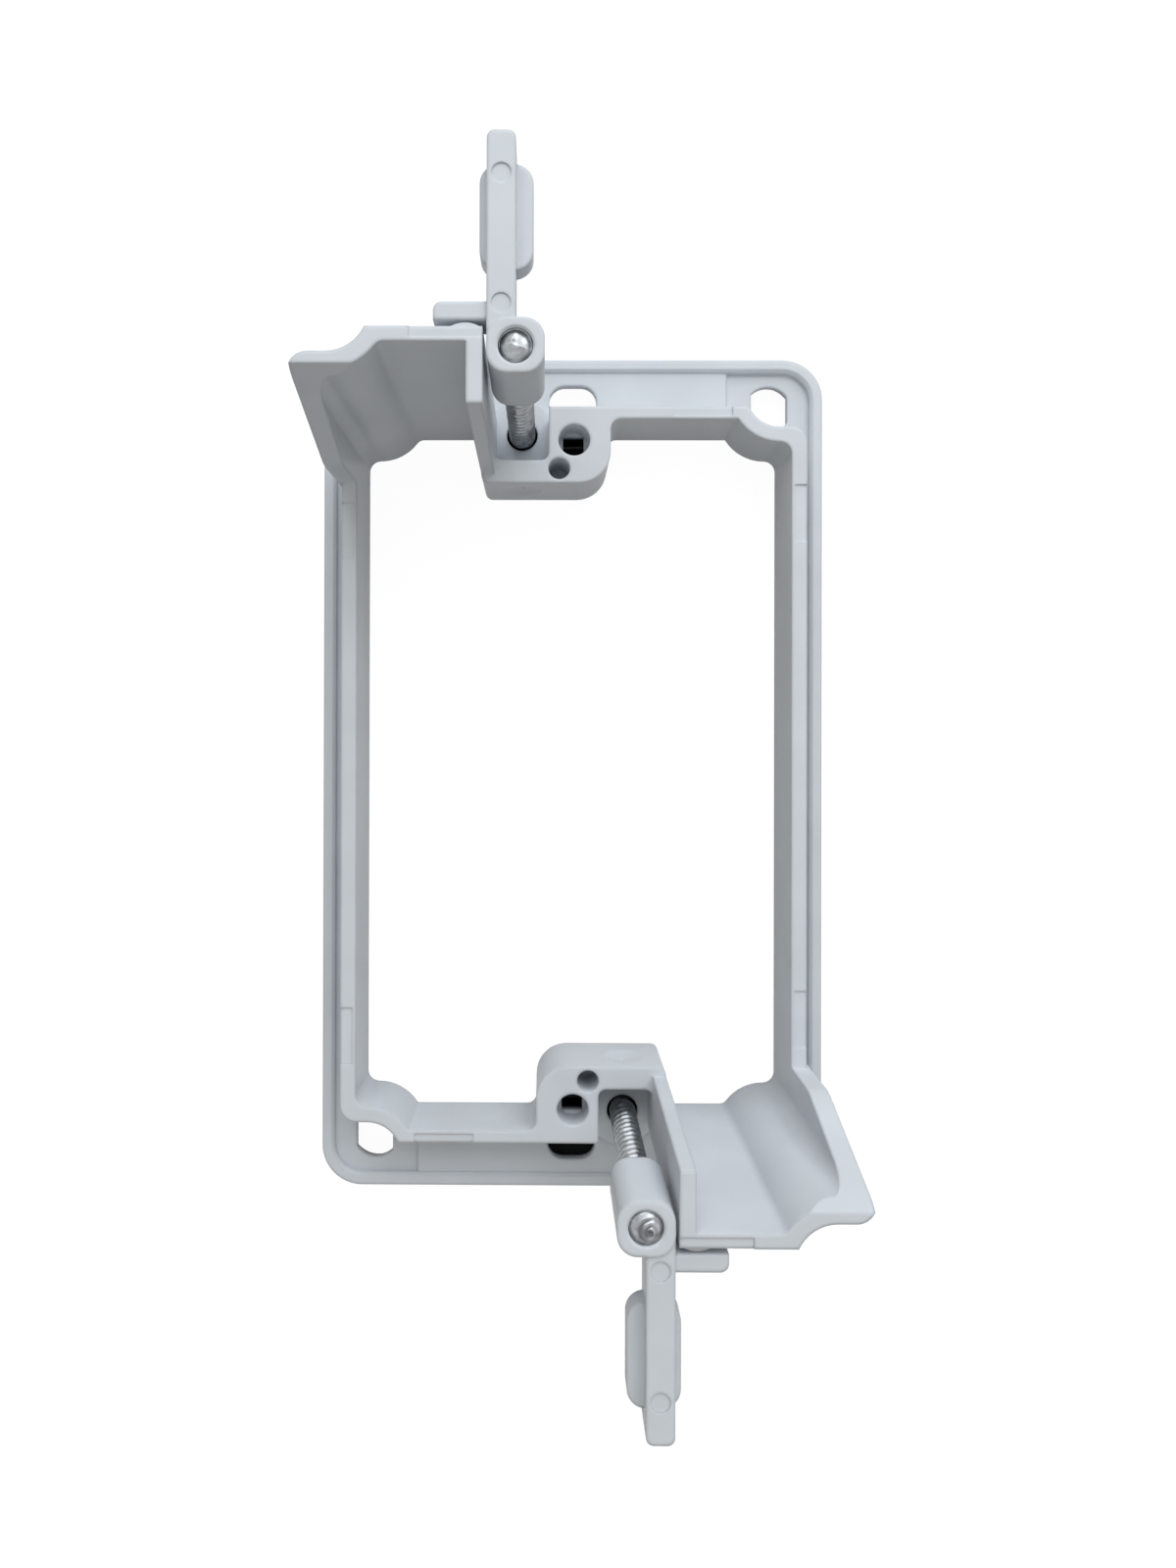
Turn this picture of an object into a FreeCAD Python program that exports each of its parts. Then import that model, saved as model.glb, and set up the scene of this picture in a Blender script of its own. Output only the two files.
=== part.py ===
"""A single-gang low voltage mounting bracket with two clamp wings, as a parametric document.

The row frame has its origin at the centre of the flange's front face. +X points right and +Y up as
the installed bracket is seen from inside the wall, and +Z points out of the room, into the wall. The
object is the same after half a turn about Z, so what stands at the upper end is patterned to the lower.
"""

import FreeCAD
import Part
import Sketcher

import math
import os
import re
from collections import namedtuple

# Driving dimensions in millimetres: name, value, what it is
SIZES = [
    ("flange_width", 64.9, "flange across, left to right"),
    ("flange_height", 107.6, "flange, top to bottom"),
    ("flange_round", 5.2, "radius of the flange's corners"),
    ("recess_floor", 2.3, "flange thickness at its recessed corners and sides"),
    ("plate_thickness", 2.8, "flange thickness of the two end plates"),
    ("plate_inset", 5.5, "end plate's side, inside the corner hole's centre"),
    ("rim_height", 3.3, "rear face of the flange's rim, from the front face"),
    ("rim_width", 1.5, "width of the rim"),
    ("rim_bevel", 0.35, "bevel on the rim's inner edge"),
    ("side_lip", 3.5, "flange beyond the collar on each long side"),
    ("end_lip", 8.0, "flange beyond the collar at each end"),
    ("collar_depth", 9.4, "rear face of the collar, from the front face"),
    ("side_wall", 1.9, "wall of the collar's long sides"),
    ("end_wall", 1.5, "wall of the collar's ends"),
    ("scallop_inset", 3.35, "corner hole and scallop centre, inside the collar's side"),
    ("scallop_rise", 1.8, "corner hole and scallop centre, beyond the collar's end"),
    ("scallop_radius", 4.3, "outer radius of the scalloped corner"),
    ("scallop_wall", 1.85, "wall of the scalloped corner"),
    ("collar_round", 2.0, "outer radius where scallop and long side meet"),
    ("opening_round", 1.5, "inner radius where scallop and long side meet"),
    ("corner_hole_radius", 3.0, "radius of a corner hole"),
    ("corner_flat_inner", 2.2, "corner hole's flat towards the middle, from its centre"),
    ("corner_flat_outer", 2.5, "corner hole's flat towards the edge, from its centre"),
    ("hole_wall", 0.8, "what the front countersink leaves of the flange round a corner hole"),
    ("slot_wall", 1.1, "what the front countersink leaves of the end plate round the centring slot"),
    ("sink_width", 0.6, "how far a countersink goes round its hole"),
    ("slot_width", 6.2, "centring slot at each end, across"),
    ("slot_height", 4.3, "centring slot, along Y"),
    ("slot_rise", 2.65, "centring slot centre, beyond the collar's end"),
    ("slot_round", 2.1, "radius of the slot's corners"),
    ("device_spacing", 83.3, "device screw holes, centre to centre"),
    ("device_hole_radius", 1.975, "device screw hole, clear part"),
    ("device_slot_width", 2.65, "flat-sided throat that the device screw cuts into, across"),
    ("device_slot_height", 2.9, "throat, along Y"),
    ("device_throat", 5.5, "length of the throat, from the front face"),
    ("post_left", 11.55, "screw post's far side, from the middle"),
    ("post_right", 4.55, "screw post's near side, from the middle on the other side"),
    ("post_beyond", 5.35, "screw post's inner face, from the device screw hole"),
    ("post_round", 3.95, "large radius on the post's free corner"),
    ("post_corner", 1.0, "radius on the post's corner under the ear"),
    ("post_fillet", 1.3, "fillet between post and collar"),
    ("pilot_across", 1.87, "blind pilot hole, from the middle in X"),
    ("pilot_inset", 1.8, "blind pilot hole, from the post's inner face"),
    ("pilot_radius", 1.35, "blind pilot hole"),
    ("pilot_depth", 6.0, "depth of the blind pilot hole"),
    ("wing_clearance", 0.15, "between a turning wing's boss and the ear's wall beside it"),
    ("clamp_inset", 1.9, "clamp screw axis, inside the collar's end"),
    ("pocket_floor", 3.5, "floor of the pocket round the clamp screw"),
    ("pocket_clearance", 0.29, "between a turning wing's boss and the pocket's far side"),
    ("post_wall", 2.8, "wall between the pocket and the post's inner face"),
    ("pocket_round", 1.0, "radius of the pocket's inner corner"),
    ("boss_radius", 4.6, "round pad of the pocket floor that stands over the flange"),
    ("screw_clearance", 0.3, "clearance round the clamp screw in the frame, on the radius"),
    ("head_clearance", 0.3, "clearance round the clamp screw's head, on the radius"),
    ("head_seat_depth", 2.0, "depth of that counterbore, from the front face"),
    ("ear_height", 34.3, "rear end of the ears, from the front face"),
    ("return_wall", 1.65, "thickness of the ear's wall beside the clamp screw"),
    ("return_inset", 1.1, "free edge of that wall at its foot, from the post's inner face"),
    ("return_lean", 0.7, "how far that edge leans back at its rear end"),
    ("ear_step", 0.45, "how far the ear's side stands outside the collar's"),
    ("side_knee", 17.5, "height where the ear's side edge starts to slope"),
    ("side_knee_round", 6.0, "radius of that bend"),
    ("side_tip_inset", 3.7, "ear's side edge at its rear end, inside the collar's end"),
    ("crease_fillet", 1.2, "fillet inside the ear between scallop and end wall"),
    ("bump_width", 3.6, "rounded rib on the ear's outer face, across"),
    ("bump_rise", 0.6, "how far that rib stands out"),
    ("bump_setback", 0.7, "rear end of that rib, short of the ear's"),
    ("dish_width", 5.2, "shallow round dish in the post's inner face"),
    ("dish_depth", 0.35, "depth of that dish"),
    ("dish_inset", 4.1, "centre of that dish, short of the collar's rear face"),
    ("mould_mark_strip", 0.4, "what a shallow mould mark leaves of the wall's inner side"),
    ("mould_mark_depth", 0.15, "depth of the mould marks"),
    ("side_mark_length", 7.0, "length of a mark on a long side"),
    ("plain_mark_inset", 9.7, "mark on the long side away from the ear, from the collar's end"),
    ("eared_mark_inset", 12.0, "mark on the long side towards the ear, from the collar's end"),
    ("end_mark_length", 7.3, "length of the mark on the collar's end"),
    ("end_mark_inset", 5.9, "its farther end, inside the corner hole's centre"),
    ("ear_mark_inset", 8.3, "mark on the ear's end wall, inside the corner hole's centre"),
    ("screw_radius", 1.7, "clamp screw, over its thread"),
    ("tip_rise", 0.4, "how far the clamp screw stands out behind the ear"),
    ("screw_tip_bevel", 0.35, "bevel on the screw's rear end"),
    ("head_radius", 3.4, "head of the clamp screw"),
    ("head_height", 1.75, "height of that head"),
    ("head_dome", 0.7, "rounding of the head's edge"),
    ("drive_span", 3.6, "cross recess in the head, tip to tip"),
    ("drive_blade", 0.8, "width of the cross recess's arms"),
    ("drive_depth", 1.1, "depth of the cross recess"),
    ("seat_gap", 0.05, "between faces that bear on each other"),
    ("thread_gap", 0.08, "running clearance of the screw in a wing, on the radius"),
    ("wing_boss_length", 10.3, "length of a wing's boss, whose rear end is level with the ear"),
    ("wing_boss_width", 5.85, "wing's boss, across"),
    ("wing_boss_height", 5.5, "wing's boss, along the arm"),
    ("wing_boss_round", 2.1, "radius of the boss's corners"),
    ("bore_flare", 0.2, "flare at the mouths of the wing's bore"),
    ("arm_thickness", 4.2, "wing's arm, from the face that bears on the wall board to its rib's rear"),
    ("rib_setback", 0.2, "rear face of the arm's rib, short of the boss's"),
    ("arm_length", 21.55, "end of the arm, from the screw axis"),
    ("rib_round", 0.8, "radius of the corners at the rib's end"),
    ("pad_left", 3.75, "wing's pad, from the screw axis to its far edge"),
    ("pad_right", 1.75, "wing's pad, from the screw axis to its near edge"),
    ("pad_length", 10.8, "length of the pad"),
    ("pad_setback", 2.35, "far end of the pad, short of the arm's"),
    ("pad_round", 2.0, "radius of the pad's corners"),
    ("pad_thickness", 2.2, "thickness of the pad"),
    ("tab_reach", 8.3, "end of the stop tab, from the screw axis"),
    ("tab_clearance", 0.25, "between the stop tab and the rounded rib that it rests against"),
    ("tab_thickness", 1.8, "thickness of the stop tab"),
    ("tab_setback", 0.6, "rear face of the stop tab, short of the boss's"),
    ("tab_round", 0.9, "radius of the tab's outer corners"),
    ("pin_mark_radius", 1.0, "round ejector mark on the rib"),
    ("pin_mark_depth", 0.15, "depth of the ejector marks"),
    ("pin_mark_near", 4.3, "near ejector mark, from the screw axis"),
    ("pin_mark_inset", 4.25, "far ejector mark, from the arm's end"),
]

# Sizes and places that follow from the driving dimensions
FOLLOWING = {
    "collar_width": "flange_width - 2 * side_lip",
    "collar_height": "flange_height - 2 * end_lip",
    "scallop_across": "collar_width / 2 - scallop_inset",
    "scallop_up": "collar_height / 2 + scallop_rise",
    "plate_reach": "scallop_across - plate_inset",
    "slot_up": "collar_height / 2 + slot_rise",
    "post_reach": "device_spacing / 2 - post_beyond",
    "pilot_up": "post_reach + pilot_inset",
    "boss_flat_across": "wing_boss_width / 2 - wing_boss_round",
    "boss_flat_up": "wing_boss_height / 2 - wing_boss_round",
    "wing_turn": "sqrt(boss_flat_across^2 + boss_flat_up^2) + wing_boss_round",
    "clamp_across": "post_left - return_wall - wing_clearance - wing_turn",
    "clamp_up": "collar_height / 2 - clamp_inset",
    "pocket_right": "clamp_across - wing_turn - pocket_clearance",
    "pocket_up": "post_reach + post_wall",
    "screw_hole_radius": "screw_radius + screw_clearance",
    "head_seat_radius": "head_radius + head_clearance",
    "return_foot": "post_reach + return_inset",
    "return_tip": "return_foot + return_lean",
    "side_tip": "collar_height / 2 - side_tip_inset",
    "bump_rear": "ear_height - bump_setback",
    "dish_centre": "collar_depth - dish_inset",
    "plain_mark_end": "collar_height / 2 - plain_mark_inset",
    "plain_mark_start": "plain_mark_end - side_mark_length",
    "eared_mark_end": "collar_height / 2 - eared_mark_inset",
    "eared_mark_start": "eared_mark_end - side_mark_length",
    "end_mark_end": "scallop_across - end_mark_inset",
    "end_mark_start": "end_mark_end - end_mark_length",
    "ear_mark_end": "scallop_across - ear_mark_inset",
    "screw_tip": "ear_height + tip_rise",
    "wing_rear": "ear_height",
    "wing_front": "wing_rear - wing_boss_length",
    "arm_rear": "wing_rear - rib_setback",
    "arm_front": "arm_rear - arm_thickness",
    "pad_end": "arm_length - pad_setback",
    "pad_start": "pad_end - pad_length",
    "tab_start": "clamp_inset + bump_rise + tab_clearance",
    "tab_rear": "wing_rear - tab_setback",
    "pin_mark_far": "arm_length - pin_mark_inset",
}
SHEET = "Sizes"
NAMES = {name for name, value, meaning in SIZES}
HALF_TURN = 180.0
TOUCHING = 0.001
ROOT = -1
START, END, CENTRE = 1, 2, 3

Arc = namedtuple("Arc", "radius clockwise")


def bound(words):
    """A size in plain words, such as 'flange_width / 2', as an expression on the sheet."""

    def cell(found):
        word = found[0]
        if word in FOLLOWING:
            return f"({bound(FOLLOWING[word])})"
        return f"{SHEET}.{word}" if word in NAMES else word

    return re.sub(r"[a-z_]+", cell, words)


def make_sheet(document):
    sheet = document.addObject("Spreadsheet::Sheet", SHEET)
    for row, (name, value, meaning) in enumerate(SIZES, start=1):
        sheet.set(f"A{row}", meaning)
        sheet.set(f"B{row}", str(value))
        sheet.setAlias(f"B{row}", name)
    document.recompute()
    return sheet


def measured(feature, words):
    """The number that a size in words stands for now."""
    return float(feature.evalExpression(bound(words)))


def new_body(document, label):
    body = document.addObject("PartDesign::Body", label)
    body.Label = label
    return body


def origin_feature(body, role):
    return next(item for item in body.Origin.OriginFeatures if item.Role == role)


def new_sketch(body, name, role="XY_Plane", offset=None):
    """A sketch on one of the body's own planes, moved along the plane's normal by a size in words."""
    sketch = body.newObject("Sketcher::SketchObject", name)
    sketch.AttachmentSupport = [(origin_feature(body, role), "")]
    sketch.MapMode = "FlatFace"
    if offset is not None:
        sketch.setExpression("AttachmentOffset.Base.z", bound(offset))
    return sketch


def bind(sketch, constraint, words):
    index = sketch.addConstraint(constraint)
    sketch.setExpression(f"Constraints[{index}]", bound(words))


def pin_point(sketch, geometry, position, place, words):
    """Hold one point at its X and Y, both sizes in words."""
    bind(sketch, Sketcher.Constraint("DistanceX", ROOT, START, geometry, position, place.x), words[0])
    bind(sketch, Sketcher.Constraint("DistanceY", ROOT, START, geometry, position, place.y), words[1])


def draw_circle(sketch, x, y, radius):
    centre = FreeCAD.Vector(measured(sketch, x), measured(sketch, y), 0)
    size = measured(sketch, radius)
    circle = sketch.addGeometry(Part.Circle(centre, FreeCAD.Vector(0, 0, 1), size))
    pin_point(sketch, circle, CENTRE, centre, (x, y))
    bind(sketch, Sketcher.Constraint("Radius", circle, size), radius)


def arc_between(start, end, radius, clockwise):
    """The short arc of this radius from start to end, and which of its ends is the path's start."""
    chord = end - start
    half = chord.Length / 2
    away = math.sqrt(max(radius**2 - half**2, 0.0))
    left = FreeCAD.Vector(-chord.y, chord.x, 0).normalize()
    centre = (start + end) * 0.5 + left * (-away if clockwise else away)
    first, last = (end, start) if clockwise else (start, end)
    angles = [math.atan2(point.y - centre.y, point.x - centre.x) for point in (first, last)]
    circle = Part.Circle(centre, FreeCAD.Vector(0, 0, 1), radius)
    ends = (END, START) if clockwise else (START, END)
    return Part.ArcOfCircle(circle, angles[0], angles[1]), ends


def rounded_corner(before, corner, after, radius):
    """The two tangent points of a corner's arc, and whether the path turns clockwise there."""
    back = (before - corner).normalize()
    onward = (after - corner).normalize()
    reach = radius / math.tan(back.getAngle(onward) / 2)
    clockwise = (corner - before).cross(after - corner).z < 0
    return corner + back * reach, corner + onward * reach, clockwise


def draw_outline(sketch, path):
    """A closed outline of points and arcs, fully constrained and bound to the sheet.

    A point is (x, y), or (x, y, radius) for a rounded corner between two straight stretches. An Arc
    between two points joins them in place of a straight line. All sizes are in words.
    """
    points = [item for item in path if not isinstance(item, Arc)]
    arcs = {}
    count = 0
    for item in path:
        if isinstance(item, Arc):
            arcs[count - 1] = item
        else:
            count += 1
    places = [FreeCAD.Vector(measured(sketch, point[0]), measured(sketch, point[1]), 0) for point in points]
    rounds = {}
    for index, point in enumerate(points):
        if len(point) == 3:
            before = places[index - 1]
            after = places[(index + 1) % count]
            rounds[index] = rounded_corner(before, places[index], after, measured(sketch, point[2]))

    stretches = []
    for index in range(count):
        following = (index + 1) % count
        start = rounds[index][1] if index in rounds else places[index]
        end = rounds[following][0] if following in rounds else places[following]
        if index in arcs:
            size = measured(sketch, arcs[index].radius)
            geometry, ends = arc_between(start, end, size, arcs[index].clockwise)
            number = sketch.addGeometry(geometry)
            bind(sketch, Sketcher.Constraint("Radius", number, size), arcs[index].radius)
        else:
            ends = (START, END)
            number = sketch.addGeometry(Part.LineSegment(start, end))
        stretches.append((number, ends))

    for index, point in enumerate(points):
        before, before_ends = stretches[index - 1]
        after, after_ends = stretches[index]
        if index not in rounds:
            joint = Sketcher.Constraint("Coincident", before, before_ends[1], after, after_ends[0])
            sketch.addConstraint(joint)
            pin_point(sketch, after, after_ends[0], places[index], point)
            continue
        first, last, clockwise = rounds[index]
        size = measured(sketch, point[2])
        geometry, ends = arc_between(first, last, size, clockwise)
        corner = sketch.addGeometry(geometry)
        sketch.addConstraint(Sketcher.Constraint("Tangent", before, before_ends[1], corner, ends[0]))
        sketch.addConstraint(Sketcher.Constraint("Tangent", after, after_ends[0], corner, ends[1]))
        bind(sketch, Sketcher.Constraint("Radius", corner, size), point[2])
        meeting = sketch.addGeometry(Part.Point(places[index]), True)
        sketch.addConstraint(Sketcher.Constraint("PointOnObject", meeting, START, before))
        sketch.addConstraint(Sketcher.Constraint("PointOnObject", meeting, START, after))
        pin_point(sketch, meeting, START, places[index], point)


def rectangle(left, bottom, right, top, radius=None):
    corners = [(left, bottom), (right, bottom), (right, top), (left, top)]
    return [corner + (radius,) for corner in corners] if radius else corners


def centred_rectangle(width, height, radius):
    return rectangle(f"-({width}) / 2", f"-({height}) / 2", f"({width}) / 2", f"({height}) / 2", radius)


def pad(body, name, sketch, length):
    feature = body.newObject("PartDesign::Pad", name)
    feature.Profile = sketch
    feature.setExpression("Length", bound(length))
    return feature


def pocket(body, name, sketch, length, upward=False):
    feature = body.newObject("PartDesign::Pocket", name)
    feature.Profile = sketch
    feature.setExpression("Length", bound(length))
    feature.Reversed = upward
    return feature


def edges_where(feature, wanted):
    """Names of the feature's edges whose two ends and middle all pass the test."""
    names = []
    for number, edge in enumerate(feature.Shape.Edges, start=1):
        middle = edge.valueAt((edge.FirstParameter + edge.LastParameter) / 2)
        if all(wanted(place) for place in [vertex.Point for vertex in edge.Vertexes] + [middle]):
            names.append(f"Edge{number}")
    return names


def dress(body, kind, name, base, wanted):
    edges = edges_where(base, wanted)
    if not edges:
        raise RuntimeError(f"{name} found no edge")
    feature = body.newObject(f"PartDesign::{kind}", name)
    feature.Base = (base, edges)
    return feature


def chamfer(body, name, base, size, wanted):
    feature = dress(body, "Chamfer", name, base, wanted)
    feature.setExpression("Size", bound(size))
    return feature


def fillet(body, name, base, radius, wanted):
    feature = dress(body, "Fillet", name, base, wanted)
    feature.setExpression("Radius", bound(radius))
    return feature


def scalloped_outline(half_width, half_height, radius, corner):
    """The collar's outline: a rectangle whose four corners curve in round the corner holes."""
    start = f"scallop_across - sqrt(({radius})^2 - (scallop_up - ({half_height}))^2)"
    bottom = f"scallop_up - ({radius})"
    path = []
    for across, up in ((1, 1), (-1, 1), (-1, -1), (1, -1)):
        inward = [
            (f"{across} * ({half_width})", f"{up} * ({bottom})", corner),
            (f"{across} * scallop_across", f"{up} * ({bottom})"),
            Arc(radius, True),
            (f"{across} * ({start})", f"{up} * ({half_height})"),
        ]
        path += inward if across == up else inward[::-1]
    return path


def draw_frame_base(body):
    """The flange with its rim, and the collar round the opening: all that is whole, not patterned."""
    flange = centred_rectangle("flange_width", "flange_height", "flange_round")
    inside_rim = centred_rectangle(
        "flange_width - 2 * rim_width", "flange_height - 2 * rim_width", "flange_round - rim_width"
    )
    sketch = new_sketch(body, "flange_outline")
    draw_outline(sketch, flange)
    pad(body, "flange_floor", sketch, "recess_floor")

    sketch = new_sketch(body, "rim_outline")
    draw_outline(sketch, flange)
    draw_outline(sketch, inside_rim)
    pad(body, "rim", sketch, "rim_height")

    sketch = new_sketch(body, "collar_outline")
    draw_outline(
        sketch, scalloped_outline("collar_width / 2", "collar_height / 2", "scallop_radius", "collar_round")
    )
    return pad(body, "collar", sketch, "collar_depth")


def cut_opening(body):
    sketch = new_sketch(body, "opening_outline")
    half_width = "collar_width / 2 - side_wall"
    half_height = "collar_height / 2 - end_wall"
    radius = "scallop_radius + scallop_wall"
    draw_outline(sketch, scalloped_outline(half_width, half_height, radius, "opening_round"))
    return pocket(body, "opening", sketch, "ear_height", upward=True)


def draw_end_plate(body):
    sketch = new_sketch(body, "end_plate_outline")
    bottom = "collar_height / 2 - end_wall"
    top = "flange_height / 2 - rim_width / 2"
    draw_outline(sketch, rectangle("-plate_reach", bottom, "plate_reach", top))
    plate = pad(body, "end_plate", sketch, "plate_thickness")
    sketch = new_sketch(body, "screw_pad_outline")
    draw_circle(sketch, "-clamp_across", "clamp_up", "boss_radius")
    return [plate, pad(body, "screw_pad", sketch, "pocket_floor")]


def draw_post(body):
    """The block in the opening that carries the device screw and the clamp screw."""
    top = "collar_height / 2 - end_wall / 2"
    wall = "collar_height / 2 - end_wall"
    sketch = new_sketch(body, "post_outline")
    draw_outline(
        sketch,
        [
            ("-post_left", top),
            ("-post_left", "post_reach", "post_corner"),
            ("post_right", "post_reach", "post_round"),
            ("post_right", f"{wall} - post_fillet"),
            Arc("post_fillet", True),
            ("post_right + post_fillet", wall),
            ("post_right + post_fillet", top),
        ],
    )
    return [pad(body, "post", sketch, "collar_depth")]


def draw_ear(body):
    """The tall shield behind the collar's corner: end wall, scallop, side wall and return wall."""
    outer = "collar_height / 2"
    inner = "collar_height / 2 - end_wall"
    side = "collar_width / 2 + ear_step"
    inner_side = "collar_width / 2 - side_wall"
    far_radius = "scallop_radius + scallop_wall"
    outer_start = f"scallop_across - sqrt(scallop_radius^2 - (scallop_up - {outer})^2)"
    inner_start = f"scallop_across - sqrt(({far_radius})^2 - (scallop_up - ({inner}))^2)"
    right = "-(post_left - return_wall)"
    sketch = new_sketch(body, "ear_outline", offset="recess_floor")
    draw_outline(
        sketch,
        [
            (right, outer),
            (f"-({outer_start})", outer),
            Arc("scallop_radius", True),
            ("-scallop_across", "scallop_up - scallop_radius"),
            (f"-({side})", "scallop_up - scallop_radius", "collar_round"),
            (f"-({side})", "post_reach"),
            (f"-({inner_side})", "post_reach"),
            (f"-({inner_side})", f"scallop_up - ({far_radius})", "opening_round"),
            ("-scallop_across", f"scallop_up - ({far_radius})"),
            Arc(far_radius, False),
            (f"-({inner_start})", inner),
            ("-post_left", inner),
            ("-post_left", "return_foot"),
            (right, "return_foot"),
        ],
    )
    ear = pad(body, "ear", sketch, "ear_height - recess_floor")

    sketch = new_sketch(body, "side_edge", "YZ_Plane", "-(post_left + scallop_across) / 2")
    draw_outline(
        sketch,
        [
            ("post_reach - end_wall", "collar_depth"),
            ("post_reach", "collar_depth"),
            ("post_reach", "side_knee", "side_knee_round"),
            ("side_tip", "ear_height"),
            ("side_tip", "ear_height + end_wall"),
            ("post_reach - end_wall", "ear_height + end_wall"),
        ],
    )
    side_cut = pocket(body, "side_edge_cut", sketch, "collar_width / 2")

    sketch = new_sketch(body, "return_edge", "YZ_Plane", "-(post_left - return_wall) + end_wall")
    draw_outline(
        sketch,
        [
            ("return_foot - end_wall", "collar_depth"),
            ("return_foot", "collar_depth"),
            ("return_tip", "ear_height"),
            ("return_tip", "ear_height + end_wall"),
            ("return_foot - end_wall", "ear_height + end_wall"),
        ],
    )
    return_cut = pocket(body, "return_edge_cut", sketch, "return_wall + 2 * end_wall")

    sketch = new_sketch(body, "bump_outline", offset="collar_depth")
    left = f"{right} - bump_width"
    bump_radius = "(bump_width^2 / 4 + bump_rise^2) / (2 * bump_rise)"
    path = [(right, outer), Arc(bump_radius, False), (left, outer)]
    path += [(left, f"{outer} - end_wall / 2"), (right, f"{outer} - end_wall / 2")]
    draw_outline(sketch, path)
    return [ear, side_cut, return_cut, pad(body, "ear_rib", sketch, "bump_rear - collar_depth")]


def cut_post_holes(body):
    device_up = "device_spacing / 2"
    features = []

    sketch = new_sketch(body, "pocket_outline", offset="collar_depth")
    left = "-(post_left - return_wall)"
    top = "clamp_up + boss_radius"
    path = [
        (left, top),
        (left, "pocket_up", "pocket_round"),
        ("-pocket_right", "pocket_up", "pocket_round"),
        ("-pocket_right", top),
    ]
    draw_outline(sketch, path)
    features.append(pocket(body, "screw_pocket", sketch, "collar_depth - pocket_floor"))

    sketch = new_sketch(body, "device_hole_outline", offset="collar_depth")
    draw_circle(sketch, "0", device_up, "device_hole_radius")
    features.append(pocket(body, "device_hole", sketch, "collar_depth - device_throat"))

    sketch = new_sketch(body, "device_throat_outline", offset="collar_depth")
    half_width = "device_slot_width / 2"
    half_height = "device_slot_height / 2"
    throat = rectangle(
        f"-{half_width}", f"{device_up} - {half_height}", half_width, f"{device_up} + {half_height}"
    )
    draw_outline(sketch, throat)
    features.append(pocket(body, "device_throat", sketch, "2 * collar_depth"))

    sketch = new_sketch(body, "pilot_outline", offset="collar_depth")
    draw_circle(sketch, "-pilot_across", "pilot_up", "pilot_radius")
    features.append(pocket(body, "pilot_hole", sketch, "pilot_depth"))

    sketch = new_sketch(body, "screw_hole_outline", offset="collar_depth")
    draw_circle(sketch, "-clamp_across", "clamp_up", "screw_hole_radius")
    features.append(pocket(body, "screw_hole", sketch, "2 * collar_depth"))

    sketch = new_sketch(body, "head_seat_outline")
    draw_circle(sketch, "-clamp_across", "clamp_up", "head_seat_radius")
    features.append(pocket(body, "head_seat", sketch, "head_seat_depth", upward=True))
    return features


def cut_flange_holes(body):
    """The round corner holes with flats and the centring slot between them, all wider at the front."""
    features = []
    inner_rise = "sqrt(corner_hole_radius^2 - corner_flat_inner^2)"
    outer_rise = "sqrt(corner_hole_radius^2 - corner_flat_outer^2)"
    for name, side in (("right", 1), ("left", -1)):
        sketch = new_sketch(body, f"{name}_corner_hole_outline")
        inner = f"{side} * (scallop_across - corner_flat_inner)"
        outer = f"{side} * (scallop_across + corner_flat_outer)"
        path = [
            (outer, f"scallop_up + {outer_rise}"),
            Arc("corner_hole_radius", side < 0),
            (inner, f"scallop_up + {inner_rise}"),
            (inner, f"scallop_up - {inner_rise}"),
            Arc("corner_hole_radius", side < 0),
            (outer, f"scallop_up - {outer_rise}"),
        ]
        draw_outline(sketch, path)
        features.append(pocket(body, f"{name}_corner_hole", sketch, "collar_depth", upward=True))
        sketch = new_sketch(body, f"{name}_corner_sink_outline")
        draw_circle(sketch, f"{side} * scallop_across", "scallop_up", "corner_hole_radius + sink_width")
        features.append(pocket(body, f"{name}_corner_sink", sketch, "recess_floor - hole_wall", upward=True))
    sketch = new_sketch(body, "centring_slot_outline")
    bottom = "slot_up - slot_height / 2"
    top = "slot_up + slot_height / 2"
    draw_outline(sketch, rectangle("-slot_width / 2", bottom, "slot_width / 2", top, "slot_round"))
    features.append(pocket(body, "centring_slot", sketch, "plate_thickness", upward=True))
    sketch = new_sketch(body, "slot_sink_outline")
    left = "-slot_width / 2 - sink_width"
    right = "slot_width / 2 + sink_width"
    sink = rectangle(left, f"{bottom} - sink_width", right, f"{top} + sink_width", "slot_round + sink_width")
    draw_outline(sketch, sink)
    features.append(pocket(body, "slot_sink", sketch, "plate_thickness - slot_wall", upward=True))
    return features


def cut_dish(body):
    """A shallow dish, part of a sphere, in the post's inner face beside the clamp screw."""
    sketch = new_sketch(body, "dish_profile", "YZ_Plane", "-clamp_across")
    sketch.setExpression("AttachmentOffset.Base.y", bound("dish_centre"))
    radius = "(dish_width^2 / 4 + dish_depth^2) / (2 * dish_depth)"
    bottom = "post_reach + dish_depth"
    path = [(bottom, "0"), (f"{bottom} - {radius}", "0"), (f"{bottom} - {radius}", radius), Arc(radius, True)]
    draw_outline(sketch, path)
    dish = body.newObject("PartDesign::Groove", "dish")
    dish.Profile = sketch
    dish.ReferenceAxis = (sketch, ["H_Axis"])
    dish.Angle = 2 * HALF_TURN
    return [dish]


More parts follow.
